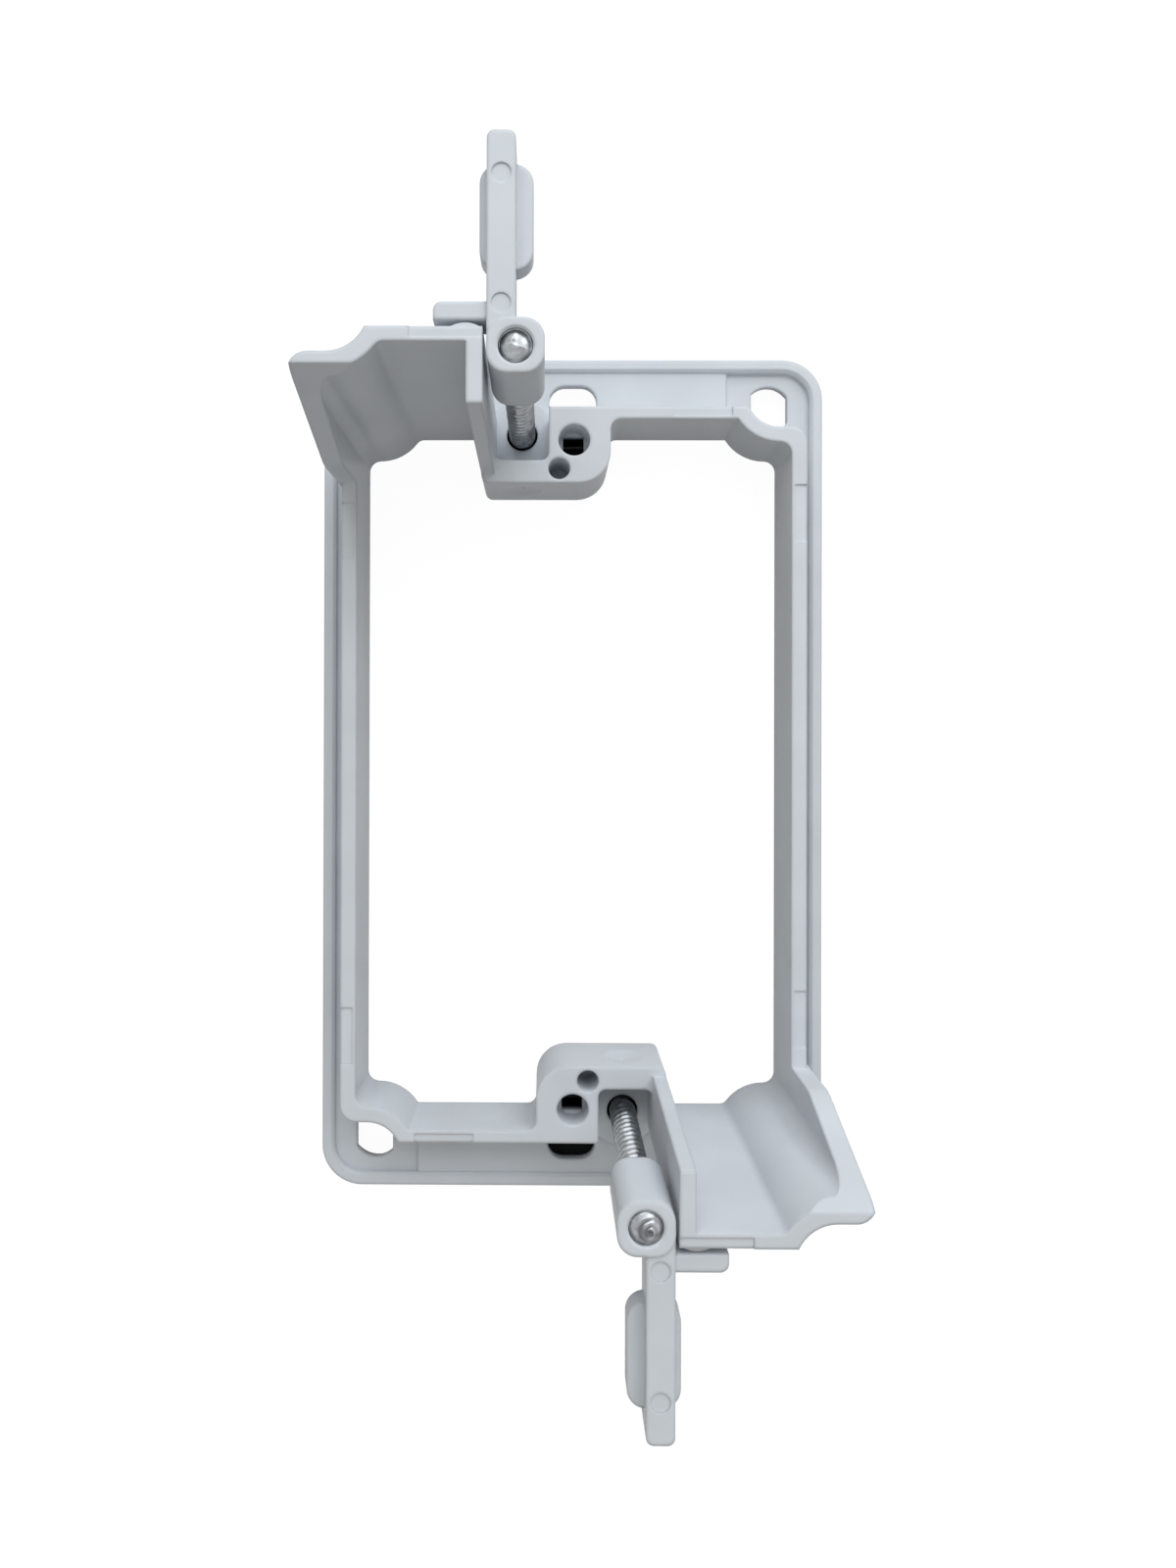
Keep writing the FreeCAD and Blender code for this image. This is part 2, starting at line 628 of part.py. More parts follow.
def cut_mould_marks(body):
    """Faint steps that the mould's slides leave on the rear faces of the collar and of the ear."""
    beyond = "collar_width / 2 + end_wall"
    inside = "collar_width / 2 - side_wall + mould_mark_strip"
    top = "collar_height / 2 + bump_rise + end_wall"
    bottom = "collar_height / 2 - end_wall + mould_mark_strip"
    sketch = new_sketch(body, "collar_marks_outline", offset="collar_depth")
    draw_outline(sketch, rectangle(inside, "plain_mark_start", beyond, "plain_mark_end"))
    draw_outline(sketch, rectangle(f"-({beyond})", "eared_mark_start", f"-({inside})", "eared_mark_end"))
    draw_outline(sketch, rectangle("end_mark_start", bottom, "end_mark_end", top))
    collar_marks = pocket(body, "collar_marks", sketch, "mould_mark_depth")

    sketch = new_sketch(body, "ear_mark_outline", offset="ear_height")
    draw_outline(sketch, rectangle("-ear_mark_end", bottom, "-(post_left - return_wall) + end_wall", top))
    return [collar_marks, pocket(body, "ear_mark", sketch, "mould_mark_depth")]


def on_crease(feature, place):
    """Is this place where the scallop's inner side meets the end wall's, at an ear?"""
    side = 1 if place.y > 0 else -1
    radius = measured(feature, "scallop_radius + scallop_wall")
    up = measured(feature, "collar_height / 2 - end_wall")
    below_centre = measured(feature, "scallop_up") - up
    across = measured(feature, "scallop_across") - math.sqrt(radius**2 - below_centre**2)
    return math.hypot(side * place.x + across, side * place.y - up) < TOUCHING


def on_rim(feature, place):
    """Is this place on the inner edge of the rim's rear face?"""
    half_width = measured(feature, "(flange_width - rim_width) / 2")
    half_height = measured(feature, "(flange_height - rim_width) / 2")
    level = abs(place.z - measured(feature, "rim_height")) < TOUCHING
    return level and abs(place.x) < half_width and abs(place.y) < half_height


def make_frame(document):
    """The one-piece moulding: flange, collar, posts and ears."""
    body = new_body(document, "bracket_frame")
    draw_frame_base(body)
    cut_opening(body)
    upper = draw_end_plate(body) + draw_post(body) + draw_ear(body)
    upper += cut_post_holes(body) + cut_flange_holes(body) + cut_dish(body) + cut_mould_marks(body)
    document.recompute()

    both_ends = body.newObject("PartDesign::PolarPattern", "both_ends")
    both_ends.Originals = upper
    both_ends.Axis = (origin_feature(body, "Z_Axis"), [""])
    both_ends.Angle = 2 * HALF_TURN
    both_ends.Occurrences = 2
    body.Tip = both_ends
    document.recompute()

    crease = fillet(body, "crease", both_ends, "crease_fillet", lambda place: on_crease(both_ends, place))
    document.recompute()
    chamfer(body, "rim_edge", crease, "rim_bevel", lambda place: on_rim(crease, place))
    document.recompute()
    return body


def make_screw(document, label):
    """A pan head machine screw with a cross recess, drawn about its own axis."""
    body = new_body(document, label)
    under_head = "head_seat_depth - seat_gap"
    face = f"{under_head} - head_height"
    sketch = new_sketch(body, "screw_profile", "XZ_Plane")
    draw_outline(
        sketch,
        [
            ("0", face),
            ("head_radius - head_dome", face),
            Arc("head_dome", False),
            ("head_radius", f"{face} + head_dome"),
            ("head_radius", under_head),
            ("screw_radius", under_head),
            ("screw_radius", "screw_tip - screw_tip_bevel"),
            ("screw_radius - screw_tip_bevel", "screw_tip"),
            ("0", "screw_tip"),
        ],
    )
    turned = body.newObject("PartDesign::Revolution", "turned_screw")
    turned.Profile = sketch
    turned.ReferenceAxis = (origin_feature(body, "Z_Axis"), [""])
    turned.Angle = 2 * HALF_TURN
    document.recompute()

    sketch = new_sketch(body, "drive_outline", offset=face)
    arm = "drive_span / 2"
    blade = "drive_blade / 2"
    corners = [(blade, arm), (blade, blade), (arm, blade)]
    path = []
    for across, up in ((1, 1), (1, -1), (-1, -1), (-1, 1)):
        quarter = [(f"{across} * {x}", f"{up} * {y}") for x, y in corners]
        path += quarter if across == up else quarter[::-1]
    draw_outline(sketch, path)
    pocket(body, "drive_recess", sketch, "drive_depth", upward=True)
    return body


def make_wing(document, label):
    """A moulded clamp wing about its screw's axis, with its arm along +Y."""
    body = new_body(document, label)
    sketch = new_sketch(body, "boss_outline", offset="wing_front")
    draw_outline(sketch, centred_rectangle("wing_boss_width", "wing_boss_height", "wing_boss_round"))
    pad(body, "boss", sketch, "wing_rear - wing_front")

    sketch = new_sketch(body, "pad_outline", offset="arm_front")
    draw_outline(sketch, rectangle("-pad_left", "pad_start", "pad_right", "pad_end", "pad_round"))
    pad(body, "grip_pad", sketch, "pad_thickness")

    sketch = new_sketch(body, "rib_outline", offset="arm_front")
    path = [("-wing_boss_width / 2", "0"), ("0", "0")]
    path += [("0", "arm_length", "rib_round"), ("-wing_boss_width / 2", "arm_length", "rib_round")]
    draw_outline(sketch, path)
    pad(body, "rib", sketch, "arm_rear - arm_front")

    sketch = new_sketch(body, "tab_outline", offset="arm_front")
    tab_end = "tab_start + tab_thickness"
    root = "-wing_boss_width / 4"
    path = [
        (root, "tab_start"),
        (root, tab_end),
        ("-tab_reach", tab_end, "tab_round"),
        ("-tab_reach", "tab_start"),
    ]
    draw_outline(sketch, path)
    pad(body, "stop_tab", sketch, "tab_rear - arm_front")

    sketch = new_sketch(body, "bore_profile", "XZ_Plane")
    bore = "screw_radius + thread_gap"
    draw_outline(
        sketch,
        [
            ("0", "wing_front"),
            (f"{bore} + bore_flare", "wing_front"),
            (bore, "wing_front + bore_flare"),
            (bore, "wing_rear - bore_flare"),
            (f"{bore} + bore_flare", "wing_rear"),
            ("0", "wing_rear"),
        ],
    )
    threaded = body.newObject("PartDesign::Groove", "bore")
    threaded.Profile = sketch
    threaded.ReferenceAxis = (origin_feature(body, "Z_Axis"), [""])
    threaded.Angle = 2 * HALF_TURN

    for name in ("near", "far"):
        sketch = new_sketch(body, f"{name}_mark_outline", offset="arm_rear")
        draw_circle(sketch, "-wing_boss_width / 4", f"pin_mark_{name}", "pin_mark_radius")
        pocket(body, f"{name}_mark", sketch, "pin_mark_depth")
    return body


def place_on_clamp_axis(body, side):
    """Stand a piece on the upper (side 1) or lower (side -1) clamp screw axis."""
    if side < 0:
        turned = FreeCAD.Rotation(FreeCAD.Vector(0, 0, 1), HALF_TURN)
        body.Placement = FreeCAD.Placement(FreeCAD.Vector(), turned)
    body.setExpression("Placement.Base.x", bound(f"{-side} * clamp_across"))
    body.setExpression("Placement.Base.y", bound(f"{side} * clamp_up"))


def check(document, bodies):
    """Stop before anything is written if an object failed or a piece isn't one valid solid."""
    for item in document.Objects:
        if "Invalid" in item.State or "Error" in item.State:
            raise RuntimeError(f"{item.Name} failed: {item.State} {item.getStatusString()}")
    for body in bodies:
        shape = body.Shape
        if shape.isNull() or not shape.isValid() or len(shape.Solids) != 1:
            raise RuntimeError(f"{body.Label} isn't one valid solid")
        box = shape.BoundBox
        print(f"{body.Label}: {shape.Volume:.1f} mm3, X {box.XMin:.2f} to {box.XMax:.2f},", end=" ")
        print(f"Y {box.YMin:.2f} to {box.YMax:.2f}, Z {box.ZMin:.2f} to {box.ZMax:.2f}")


def main():
    document = FreeCAD.newDocument("low_voltage_bracket")
    make_sheet(document)
    bodies = [make_frame(document)]
    for name, side in (("upper", 1), ("lower", -1)):
        for piece, make in (("clamp_screw", make_screw), ("clamp_wing", make_wing)):
            body = make(document, f"{name}_{piece}")
            place_on_clamp_axis(body, side)
            bodies.append(body)
    document.recompute()
    check(document, bodies)
    os.makedirs("parts", exist_ok=True)
    for body in bodies:
        body.Shape.exportStep(f"parts/{body.Label}.step")


main()
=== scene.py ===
"""The looks of the low voltage mounting bracket: a moulded frame with two clamping wings on screws.

The part lies face down on the floor, and the camera looks straight down on its rear side.
"""

import math

import bmesh
import bpy
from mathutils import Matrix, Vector
from mathutils.noise import noise as noise_of


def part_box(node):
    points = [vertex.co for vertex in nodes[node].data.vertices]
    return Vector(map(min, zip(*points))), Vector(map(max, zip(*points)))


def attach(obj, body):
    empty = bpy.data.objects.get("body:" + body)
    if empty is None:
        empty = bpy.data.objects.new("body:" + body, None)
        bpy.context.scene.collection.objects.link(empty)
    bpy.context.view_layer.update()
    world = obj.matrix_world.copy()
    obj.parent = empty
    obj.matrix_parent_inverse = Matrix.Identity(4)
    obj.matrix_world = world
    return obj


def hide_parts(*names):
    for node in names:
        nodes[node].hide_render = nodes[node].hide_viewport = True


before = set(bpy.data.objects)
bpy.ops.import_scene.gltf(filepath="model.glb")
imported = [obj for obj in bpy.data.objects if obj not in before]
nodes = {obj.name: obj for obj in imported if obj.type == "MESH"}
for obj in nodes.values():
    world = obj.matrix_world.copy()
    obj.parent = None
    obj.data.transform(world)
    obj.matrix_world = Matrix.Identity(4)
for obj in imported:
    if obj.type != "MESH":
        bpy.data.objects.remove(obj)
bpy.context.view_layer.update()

MM = 0.001
FULL_TURN = 2 * math.pi

# The photograph's frame and its camera
IMAGE_WIDTH = 1200
IMAGE_HEIGHT = 1600
FOCAL_PIXELS = 1014.8
AXIS_PIXEL = (548.3, 740.0)
CAMERA_PLACE = Vector((-3.63, 5.74, 133.06)) * MM
CAMERA_TURN = (0.0031, 0.0071, 0.0024)
SENSOR_HEIGHT = 36.0
CLIP_START = 0.005
CLIP_END = 20.0

# The soft box and the room; the room's level is that of its light, while it looks white itself
KEY_PLACE = (0.1, 0.4, 0.3)
KEY_AIM = (0, 0, 0.02)
KEY_SIZE = 0.6
KEY_POWER = 2.8
KEY_COLOUR = (0.92, 0.965, 1.0)
ROOM_LEVEL = 0.515
ROOM_COLOUR = (1.0, 0.99, 0.965, 1.0)
WHITE = (1.0, 1.0, 1.0, 1.0)
BLACK = (0.004, 0.004, 0.004, 1.0)

# The floor, which lies just below the part
FLOOR_HALF = 3.0
FLOOR_LEVEL = -0.05 * MM
FLOOR_COLOUR = (0.08, 0.08, 0.08, 1.0)
FLOOR_ROUGHNESS = 0.9
FLOOR_GLOW = 0.95

# Holes with black painted shade on their deep walls or on the floor seen through them: the middle and the
# half sizes of each in plan, at the upper end, in millimetres
THROAT = ((0, 41.67), (1.5, 1.6))
SCREW_HOLE = ((-6.6, 43.9), (2.4, 2.4))
CENTRING_SLOT = ((0, 48.5), (4.0, 2.9))

# The heights between which a hole's walls get black painted shade, and the stretch over which it fades
THROAT_SHADE_LEVELS = (1.2 * MM, 5.4 * MM)
SCREW_HOLE_SHADE_LEVELS = (1.9 * MM, 3.3 * MM)
HOLE_SHADE_FADE = 1.2 * MM

# The values that most of a noise pattern lies between
NOISE_RANGE = (0.3, 0.7)

# Moulded plastic: tints are shares of the colour, and sizes are those of the patches
PLASTIC_COLOUR = (0.62, 0.65, 0.685, 1.0)
PLASTIC_TINTS = (0.965, 1.035)
PLASTIC_ROUGHNESS = (0.36, 0.48)
PLASTIC_IOR = 1.49
PLASTIC_SPECULAR = 0.1
PLASTIC_SCATTER = 0.08
PLASTIC_SCATTER_DEPTH = 0.6 * MM
PLASTIC_CLOUD = 9 * MM
PLASTIC_SPECK = 0.5 * MM
PLASTIC_BUMP = 0.5
WAVE_SIZE = 6 * MM
WAVE_DEPTH = 0.02 * MM
GRAIN_SIZE = 0.16 * MM
GRAIN_DEPTH = 0.006 * MM

# Soft edges of the mouldings: how open the inside is where an edge's rounding starts, and where it is full
EDGE_ROUND = 0.6 * MM
EDGE_OPENNESS = (0.97, 0.75)
EDGE_SAMPLES = 6
OPENNESS_SAMPLES = 4

# Zinc plating
ZINC_COLOUR = (0.42, 0.435, 0.45, 1.0)
ZINC_TINTS = (0.35, 1.3)
ZINC_ROUGHNESS = (0.24, 0.42)
ZINC_CLOUD = 0.8 * MM
ZINC_CLOUD_RANGE = (0.44, 0.6)
ZINC_SHEEN = 0.4 * MM
ZINC_BUMP = 0.6
PIT_SIZE = 0.25 * MM
PIT_DEPTH = 0.02 * MM

# Screw head: points that are joined, where its plain shank is cut off, and its rounding
WELD_DISTANCE = 0.002 * MM
SHANK_CUT = 1.97 * MM
HEAD_ROUND = 0.08 * MM
HEAD_ROUND_ANGLE = math.radians(50)

# Screw thread, which starts inside the head and runs out below the tip; its wear differs between the screws
THREAD_RADIUS = 1.7 * MM
THREAD_PITCH = 1.27 * MM
THREAD_DEPTH = 0.46 * MM
THREAD_SHARPNESS = 0.8
THREAD_START = 1.6 * MM
THREAD_RUNOUT = 0.5 * MM
THREAD_WEAR = 0.1 * MM
WEAR_SIZE = 0.6 * MM
WEAR_SHIFT = 70 * MM
# Painted shade in the thread's grooves, darkest at their bottoms
GROOVE_PAINTED_SHADE = 0.55
THREAD_ROW = 0.1 * MM
THREAD_SIDES = 56
THREAD_ANGLES = [FULL_TURN * side / THREAD_SIDES for side in range(THREAD_SIDES)]

# Sheared tips: a dome with facets round it, a dimple near its middle, a swirl round that, and dents; shade
# is painted into the dimple, the swirl's grooves and the dents
TIP_ROWS = 30
TIP_DOME = 0.65 * MM
TIP_FACET_SLOPE = 0.35
TIP_DIMPLE_RADIUS = 0.45 * MM
TIP_DIMPLE_PAINTED_SHADE = 4.0
TIP_SWIRL_PITCH = 0.62 * MM
TIP_SWIRL_WANDER = 2.0
TIP_SWIRL_RISE = 2.5
TIP_SWIRL_PAINTED_SHADE = 5.0
TIP_DENT = 1.1 * MM
TIP_DENT_PAINTED_SHADE = 0.3
TIP_FINE_DENT = 0.4 * MM
TIP_FINE_SHARE = 0.35
TIP_DENT_SHIFT = 9 * MM

# The upper and the lower screw's tip: where its dimple is, the depth of each form, and the facets' turns
TIPS = (
    {
        "dimple_place": (-0.25 * MM, 0.35 * MM),
        "dimple": 0.03 * MM,
        "swirl": 0.01 * MM,
        "dents": 0.16 * MM,
        "facets": 1.3 * MM,
        "facet_turns": (0.6, 2.4, 3.8, 4.9),
    },
    {
        "dimple_place": (0.3 * MM, -0.3 * MM),
        "dimple": 0.16 * MM,
        "swirl": 0.1 * MM,
        "dents": 0.06 * MM,
        "facets": 0.45 * MM,
        "facet_turns": (1.3, 3.3, 5.5),
    },
)


def place_camera():
    """The photograph's camera: straight above the part, with the frame shifted to the photograph's axis."""
    lens = bpy.data.cameras.new("photo_camera")
    camera = bpy.data.objects.new("photo_camera", lens)
    bpy.context.scene.collection.objects.link(camera)
    camera.location = CAMERA_PLACE
    camera.rotation_euler = CAMERA_TURN
    lens.sensor_fit = "VERTICAL"
    lens.sensor_height = SENSOR_HEIGHT
    lens.lens = FOCAL_PIXELS / IMAGE_HEIGHT * SENSOR_HEIGHT
    lens.shift_x = (IMAGE_WIDTH / 2 - AXIS_PIXEL[0]) / IMAGE_HEIGHT
    lens.shift_y = (AXIS_PIXEL[1] - IMAGE_HEIGHT / 2) / IMAGE_HEIGHT
    lens.clip_start = CLIP_START
    lens.clip_end = CLIP_END
    bpy.context.scene.camera = camera


def arithmetic(tree, operation, first, second):
    """A sum, product or comparison of two values, each one a socket or a number."""
    node = tree.nodes.new("ShaderNodeMath")
    node.operation = operation
    for socket, value in zip(node.inputs, (first, second)):
        if isinstance(value, (int, float)):
            socket.default_value = value
        else:
            tree.links.new(value, socket)
    return node.outputs[0]


def rescale(tree, value, old, new):
    """A value carried over from one range to another, and held within it."""
    node = tree.nodes.new("ShaderNodeMapRange")
    for name, number in zip(("From Min", "From Max", "To Min", "To Max"), old + new):
        node.inputs[name].default_value = number
    tree.links.new(value, node.inputs["Value"])
    return node.outputs["Result"]


def blend_colours(tree, share, first, second):
    """A colour from the first at a share of 0 to the second at 1, each one a socket or a colour."""
    node = tree.nodes.new("ShaderNodeMix")
    node.data_type = "RGBA"
    tree.links.new(share, node.inputs["Factor"])
    for name, colour in (("A", first), ("B", second)):
        if isinstance(colour, (tuple, list)):
            node.inputs[name].default_value = colour
        else:
            tree.links.new(colour, node.inputs[name])
    return node.outputs["Result"]


def seen_rays(tree):
    """1 for the rays that show the background, straight, mirrored or through glass, and 0 for the rest."""
    paths = tree.nodes.new("ShaderNodeLightPath").outputs
    mirrored = arithmetic(tree, "MAXIMUM", paths["Is Glossy Ray"], paths["Is Transmission Ray"])
    return arithmetic(tree, "MAXIMUM", paths["Is Camera Ray"], mirrored)


def add_soft_box():
    """A large square lamp beyond the part's upper end, turned towards the part."""
    lamp = bpy.data.lights.new("key", "AREA")
    lamp.size = KEY_SIZE
    lamp.energy = KEY_POWER
    lamp.color = KEY_COLOUR
    lamp_object = bpy.data.objects.new("key", lamp)
    lamp_object.location = KEY_PLACE
    direction = Vector(KEY_AIM) - Vector(KEY_PLACE)
    lamp_object.rotation_euler = direction.to_track_quat("-Z", "Y").to_euler()
    bpy.context.scene.collection.objects.link(lamp_object)


def light_room():
    """A pale room all round, which looks white and lights the part at its own level."""
    world = bpy.data.worlds.new("room")
    bpy.context.scene.world = world
    world.use_nodes = True
    tree = world.node_tree
    background = tree.nodes["Background"]
    seen = seen_rays(tree)
    level = rescale(tree, seen, (0.0, 1.0), (ROOM_LEVEL, 1.0))
    tree.links.new(level, background.inputs["Strength"])
    colour = blend_colours(tree, seen, ROOM_COLOUR, WHITE)
    tree.links.new(colour, background.inputs["Color"])


def new_material(name):
    """A node material and its Principled shader."""
    material = bpy.data.materials.new(name)
    material.use_nodes = True
    return material, material.node_tree, material.node_tree.nodes["Principled BSDF"]


def noise(tree, coordinates, feature, detail, roughness=0.5):
    """A noise pattern whose patches are about as large as the feature."""
    node = tree.nodes.new("ShaderNodeTexNoise")
    node.inputs["Scale"].default_value = 1.0 / feature
    node.inputs["Detail"].default_value = detail
    node.inputs["Roughness"].default_value = roughness
    tree.links.new(coordinates, node.inputs["Vector"])
    return node.outputs["Fac"]


def spread(tree, pattern, ends):
    """A noise pattern's middle range, stretched to run from one end to the other."""
    return rescale(tree, pattern, NOISE_RANGE, ends)


def bump(tree, height, depth, strength, under=None):
    """Normals with a bump of the given depth, laid over other normals if there are any."""
    node = tree.nodes.new("ShaderNodeBump")
    node.inputs["Distance"].default_value = depth
    node.inputs["Strength"].default_value = strength
    tree.links.new(height, node.inputs["Height"])
    if under is not None:
        tree.links.new(under, node.inputs["Normal"])
    return node.outputs["Normal"]


def coordinate(tree, place, name):
    """The X, Y or Z of a place."""
    parts = tree.nodes.new("ShaderNodeSeparateXYZ")
    tree.links.new(place, parts.inputs[0])
    return parts.outputs[name]


def inside_box(tree, place, patch, turned):
    """1 over a patch of the part's plan, and 0 elsewhere; turned is 1 at the upper end, -1 at the lower."""
    within = 1.0
    for name, middle, half in zip("XY", *patch):
        away = arithmetic(tree, "SUBTRACT", coordinate(tree, place, name), turned * middle * MM)
        distance = arithmetic(tree, "ABSOLUTE", away, 0.0)
        near = arithmetic(tree, "LESS_THAN", distance, half * MM)
        within = arithmetic(tree, "MULTIPLY", near, within)
    return within


def between(tree, place, bottom, top):
    """1 at the heights between two levels, fading to 0 towards the upper one, and 0 below the lower one."""
    height = coordinate(tree, place, "Z")
    faded = rescale(tree, height, (top, top - HOLE_SHADE_FADE), (0.0, 1.0))
    above = arithmetic(tree, "GREATER_THAN", height, bottom)
    return arithmetic(tree, "MULTIPLY", faded, above)


def painted_hole_shade_mask(tree, place):
    """Where black shade is painted: 1 deep in the throats and the clamp screws' holes of both ends, and 0
    elsewhere.
    """
    dark = 0.0
    for turned in (1, -1):
        for patch, levels in ((THROAT, THROAT_SHADE_LEVELS), (SCREW_HOLE, SCREW_HOLE_SHADE_LEVELS)):
            inside = inside_box(tree, place, patch, turned)
            deep = arithmetic(tree, "MULTIPLY", inside, between(tree, place, *levels))
            dark = arithmetic(tree, "MAXIMUM", deep, dark)
    return dark


def tint_with_painted_hole_shade(tree, place, pattern, colour, tints):
    """A colour that drifts between a dark and a pale tint with a pattern, with black shade painted deep in a
    hole.
    """
    darkest, palest = [[min(1.0, level * tint) for level in colour[:3]] + [1.0] for tint in tints]
    tint = blend_colours(tree, spread(tree, pattern, (0.0, 1.0)), darkest, palest)
    return blend_colours(tree, painted_hole_shade_mask(tree, place), tint, BLACK)


def soft_edges(tree):
    """Normals that round the outer edges and leave the inner corners sharp."""
    rounded = tree.nodes.new("ShaderNodeBevel")
    rounded.samples = EDGE_SAMPLES
    rounded.inputs["Radius"].default_value = EDGE_ROUND
    inside = tree.nodes.new("ShaderNodeAmbientOcclusion")
    inside.samples = OPENNESS_SAMPLES
    inside.inside = True
    inside.inputs["Distance"].default_value = EDGE_ROUND
    outer = rescale(tree, inside.outputs["AO"], EDGE_OPENNESS, (0.0, 1.0))
    blend = tree.nodes.new("ShaderNodeMix")
    blend.data_type = "VECTOR"
    tree.links.new(outer, blend.inputs["Factor"])
    tree.links.new(tree.nodes.new("ShaderNodeNewGeometry").outputs["Normal"], blend.inputs["A"])
    tree.links.new(rounded.outputs["Normal"], blend.inputs["B"])
    unit = tree.nodes.new("ShaderNodeVectorMath")
    unit.operation = "NORMALIZE"
    tree.links.new(blend.outputs["Result"], unit.inputs[0])
    return unit.outputs["Vector"]


def make_plastic():
    """Pale cool grey moulded plastic: satin, with a fine grain, faint flow waves, cloudy colour and black
    painted shade deep in holes.
    """
    material, tree, shader = new_material("moulded_plastic")
    place = tree.nodes.new("ShaderNodeTexCoord").outputs["Object"]
    cloud = noise(tree, place, PLASTIC_CLOUD, detail=4.0)
    speck = noise(tree, place, PLASTIC_SPECK, detail=3.0)
    tint = tint_with_painted_hole_shade(tree, place, cloud, PLASTIC_COLOUR, PLASTIC_TINTS)
    tree.links.new(tint, shader.inputs["Base Color"])
    tree.links.new(spread(tree, speck, PLASTIC_ROUGHNESS), shader.inputs["Roughness"])
    shader.inputs["IOR"].default_value = PLASTIC_IOR
    shader.inputs["Specular IOR Level"].default_value = PLASTIC_SPECULAR
    shader.inputs["Subsurface Weight"].default_value = PLASTIC_SCATTER
    shader.inputs["Subsurface Radius"].default_value = (1.0, 1.0, 1.0)
    shader.inputs["Subsurface Scale"].default_value = PLASTIC_SCATTER_DEPTH
    waves = noise(tree, place, WAVE_SIZE, detail=2.0)
    waved = bump(tree, waves, WAVE_DEPTH, PLASTIC_BUMP, under=soft_edges(tree))
    grain = noise(tree, place, GRAIN_SIZE, detail=3.0)
    grained = bump(tree, grain, GRAIN_DEPTH, PLASTIC_BUMP, under=waved)
    tree.links.new(grained, shader.inputs["Normal"])
    return material


def make_zinc():
    """Bright zinc plating: metallic, a little cloudy, with fine pits, and painted shade in grooves, tip
    hollows and deep holes.
    """
    material, tree, shader = new_material("zinc_plating")
    place = tree.nodes.new("ShaderNodeTexCoord").outputs["Object"]
    cloud = noise(tree, place, ZINC_CLOUD, detail=4.0)
    # The groove layer holds painted shade for the thread's grooves and the tips' dimple, swirl and dents
    painted_groove_shade = tree.nodes.new("ShaderNodeAttribute")
    painted_groove_shade.attribute_name = "groove"
    cloud_less_painted_shade = arithmetic(tree, "SUBTRACT", spread(tree, cloud, ZINC_CLOUD_RANGE), painted_groove_shade.outputs["Fac"])
    tint = tint_with_painted_hole_shade(tree, place, cloud_less_painted_shade, ZINC_COLOUR, ZINC_TINTS)
    tree.links.new(tint, shader.inputs["Base Color"])
    shader.inputs["Metallic"].default_value = 1.0
    sheen = noise(tree, place, ZINC_SHEEN, detail=4.0)
    tree.links.new(spread(tree, sheen, ZINC_ROUGHNESS), shader.inputs["Roughness"])
    pits = noise(tree, place, PIT_SIZE, detail=4.0, roughness=0.6)
    tree.links.new(bump(tree, pits, PIT_DEPTH, ZINC_BUMP), shader.inputs["Normal"])
    return material


def make_floor_finish():
    """A finish that looks white, keeps the part's shadow, and has black painted shade under the throats and
    a slot.
    """
    material, tree, shader = new_material("pale_floor")
    shader.inputs["Roughness"].default_value = FLOOR_ROUGHNESS
    place = tree.nodes.new("ShaderNodeTexCoord").outputs["Object"]
    # Painted shade: black patches where the floor is seen through the throats and the lower centring slot
    dark = inside_box(tree, place, CENTRING_SLOT, -1)
    for turned in (1, -1):
        dark = arithmetic(tree, "MAXIMUM", inside_box(tree, place, THROAT, turned), dark)
    colour = blend_colours(tree, dark, FLOOR_COLOUR, BLACK)
    tree.links.new(colour, shader.inputs["Base Color"])
    pale = arithmetic(tree, "SUBTRACT", 1.0, dark)
    seen = arithmetic(tree, "MULTIPLY", seen_rays(tree), pale)
    shader.inputs["Emission Color"].default_value = WHITE
    tree.links.new(arithmetic(tree, "MULTIPLY", seen, FLOOR_GLOW), shader.inputs["Emission Strength"])
    return material


def make_floor():
    """A square floor round the part."""
    corners = [(x * FLOOR_HALF, y * FLOOR_HALF, 0) for x, y in ((-1, -1), (1, -1), (1, 1), (-1, 1))]
    mesh = bpy.data.meshes.new("floor")
    mesh.from_pydata(corners, [], [(0, 1, 2, 3)])
    mesh.materials.append(make_floor_finish())
    floor = bpy.data.objects.new("floor", mesh)
    floor.location = (0, 0, FLOOR_LEVEL)
    bpy.context.scene.collection.objects.link(floor)


def clean_copy(node):
    """A bmesh of a node's faces, with its doubled points joined."""
    work = bmesh.new()
    work.from_mesh(node.data)
    bmesh.ops.remove_doubles(work, verts=work.verts, dist=WELD_DISTANCE)
    return work


def finish_mesh(work, name, material):
    """An object of the bmesh, smooth shaded, with its material."""
    for face in work.faces:
        face.smooth = True
    mesh = bpy.data.meshes.new(name)
    work.to_mesh(mesh)
    work.free()
    mesh.materials.append(material)
    piece = bpy.data.objects.new(name, mesh)
    bpy.context.scene.collection.objects.link(piece)
    return piece


def dress_node(node_name, material):
    """Gives a node's own mesh its finish."""
    for slot in nodes[node_name].material_slots:
        slot.material = material


def dent(across, up, height, size):
    """A smooth random number from about -1 to 1 at a place, whose patches are about as large as the size."""
    return noise_of(Vector((across, up, height)) / size)


def thread_depth(angle, height, top):
    """How deep in the thread's groove a place on the shank lies, from 0 on the ridge to 1."""
    phase = height / THREAD_PITCH - angle / FULL_TURN
    ridge = 0.5 + 0.5 * math.cos(FULL_TURN * phase)
    runout = min(1.0, max(0.0, top - height) / THREAD_RUNOUT)
    return (1.0 - ridge ** THREAD_SHARPNESS) * runout


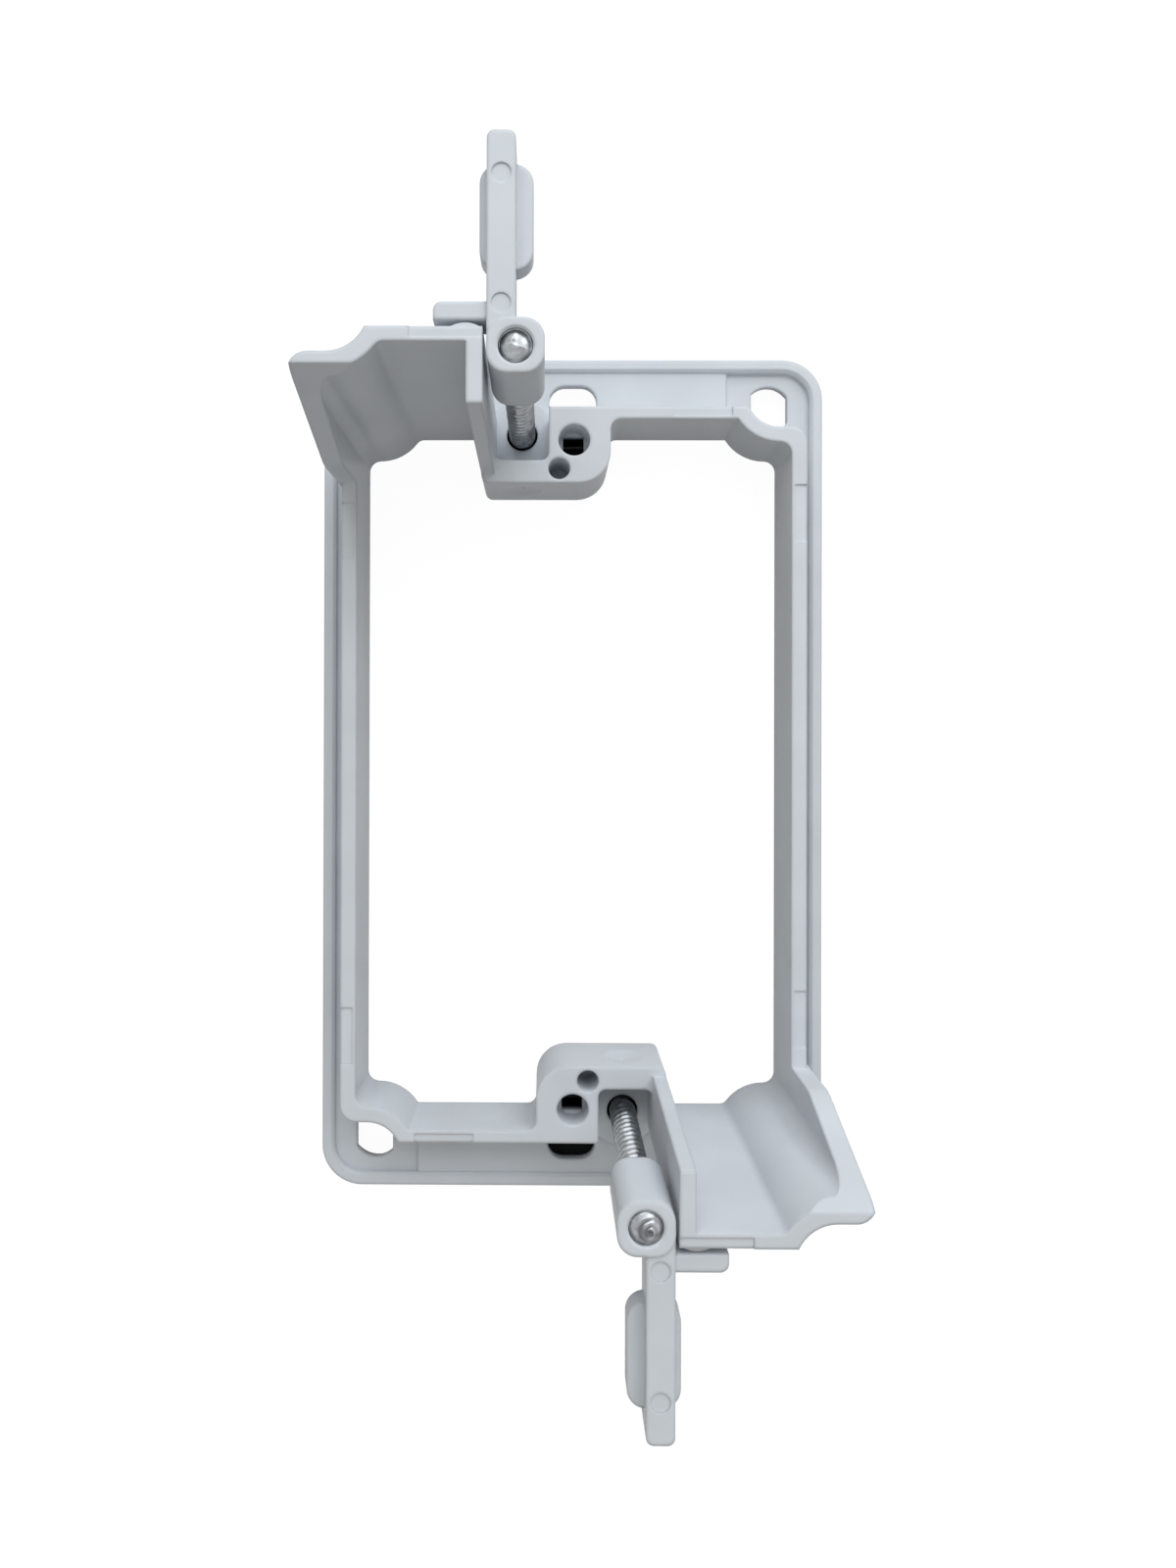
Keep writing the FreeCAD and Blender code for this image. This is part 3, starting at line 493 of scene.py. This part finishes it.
def thread_ring(height, top, number):
    """The radius, height and painted shade of the thread's points all round the shank, at one height."""
    points = []
    for angle in THREAD_ANGLES:
        depth = thread_depth(angle, height, top)
        across = THREAD_RADIUS * math.cos(angle)
        up = THREAD_RADIUS * math.sin(angle)
        wear = THREAD_WEAR * max(0.0, dent(across, up, height + number * WEAR_SHIFT, WEAR_SIZE))
        radius = THREAD_RADIUS - THREAD_DEPTH * depth - wear
        points.append((radius, height, GROOVE_PAINTED_SHADE * depth ** 2))
    return points


def tip_surface(angle, radius, number):
    """How far a place on a screw's sheared end lies below its top, and how much shade is painted there."""
    tip = TIPS[number]
    share = radius / THREAD_RADIUS
    across = radius * math.cos(angle)
    up = radius * math.sin(angle)
    side = across - tip["dimple_place"][0]
    rise = up - tip["dimple_place"][1]
    away = math.hypot(side, rise)
    wide = dent(across, up, number * TIP_DENT_SHIFT, TIP_DENT)
    fine = dent(across, up, number * TIP_DENT_SHIFT, TIP_FINE_DENT)
    swirl = math.sin(FULL_TURN * away / TIP_SWIRL_PITCH + math.atan2(rise, side) + TIP_SWIRL_WANDER * wide)
    dimple = max(0.0, 1.0 - away / TIP_DIMPLE_RADIUS)
    facet = max(TIP_FACET_SLOPE * share * math.cos(angle - turn) for turn in tip["facet_turns"])
    drop = TIP_DOME * share ** 3
    drop += tip["facets"] * facet
    drop += tip["dimple"] * dimple
    drop += tip["swirl"] * (1.0 + swirl) * min(1.0, TIP_SWIRL_RISE * share) * (1.0 - share)
    drop += tip["dents"] * (1.0 + wide + TIP_FINE_SHARE * fine) * (1.0 - share)
    # Painted shade in the dimple, the swirl's grooves and the dents
    dark = TIP_DIMPLE_PAINTED_SHADE * dimple * tip["dimple"] / TIP_DIMPLE_RADIUS
    dark += TIP_SWIRL_PAINTED_SHADE * max(0.0, swirl) * (1.0 - share) * tip["swirl"] / THREAD_RADIUS
    dark += TIP_DENT_PAINTED_SHADE * max(0.0, wide)
    return drop, dark


def tip_ring(row, tip, number):
    """The radius, height and painted shade of the sheared end's points all round, at one row from its rim.
    """
    radius = THREAD_RADIUS * math.sin((1.0 - row / TIP_ROWS) * math.pi / 2)
    points = []
    for angle in THREAD_ANGLES:
        drop, dark = tip_surface(angle, radius, number)
        points.append((radius, tip - drop, dark))
    return points


def add_ring(work, groove, axis, points):
    """One ring of mesh points round the axis, each with its painted shade in the groove layer."""
    ring = []
    for angle, (radius, height, dark) in zip(THREAD_ANGLES, points):
        across = axis[0] + radius * math.cos(angle)
        up = axis[1] + radius * math.sin(angle)
        point = work.verts.new((across, up, height))
        point[groove] = dark
        ring.append(point)
    return ring


def add_thread(work, axis, tip, number):
    """The threaded shank as rings of points up the axis, closed with its sheared end."""
    # The groove layer carries painted shade into the zinc's colour
    groove = work.verts.layers.float.new("groove")
    top = tip - TIP_DOME
    rows = int(round((top - THREAD_START) / THREAD_ROW))
    heights = [THREAD_START + (top - THREAD_START) * row / rows for row in range(rows + 1)]
    outlines = [thread_ring(height, top, number) for height in heights]
    outlines += [tip_ring(row, tip, number) for row in range(1, TIP_ROWS)]
    rings = [add_ring(work, groove, axis, points) for points in outlines]
    for lower, upper in zip(rings, rings[1:]):
        for side in range(THREAD_SIDES):
            after = (side + 1) % THREAD_SIDES
            work.faces.new((lower[side], lower[after], upper[after], upper[side]))
    work.faces.new(list(reversed(rings[0])))
    work.faces.new(rings[-1])


def cut_shank(work):
    """Cuts the plain shank off above the screw's head, and closes the cut."""
    everything = list(work.verts) + list(work.edges) + list(work.faces)
    cut = bmesh.ops.bisect_plane(
        work, geom=everything, plane_co=(0, 0, SHANK_CUT), plane_no=(0, 0, 1), clear_outer=True
    )
    rim = [edge for edge in cut["geom_cut"] if isinstance(edge, bmesh.types.BMEdge)]
    bmesh.ops.edgeloop_fill(work, edges=rim)


def round_edges(piece):
    """Rounds the sharp edges of the screw's head."""
    rounding = piece.modifiers.new("soft edges", "BEVEL")
    rounding.width = HEAD_ROUND
    rounding.segments = 2
    rounding.limit_method = "ANGLE"
    rounding.angle_limit = HEAD_ROUND_ANGLE
    rounding.use_clamp_overlap = False
    rounding.harden_normals = True


def dress_screw(node_name, piece_name, body, material, number):
    """A zinc plated screw: the node's head and cross recess, and a real thread in place of its shank."""
    low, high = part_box(node_name)
    axis = ((low[0] + high[0]) / 2, (low[1] + high[1]) / 2)
    work = clean_copy(nodes[node_name])
    cut_shank(work)
    add_thread(work, axis, high[2], number)
    bmesh.ops.recalc_face_normals(work, faces=work.faces)
    piece = finish_mesh(work, piece_name, material)
    round_edges(piece)
    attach(piece, body)
    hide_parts(node_name)


def main():
    """Sets up the picture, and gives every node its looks."""
    place_camera()
    add_soft_box()
    light_room()
    make_floor()
    bpy.context.scene.view_settings.view_transform = "Standard"
    plastic = make_plastic()
    zinc = make_zinc()
    dress_node("bracket_frame", plastic)
    for number, end in enumerate(("upper", "lower")):
        dress_node(end + "_clamp_wing", plastic)
        dress_screw(end + "_clamp_screw", end + "_threaded_screw", end + "_screw", zinc, number)


main()
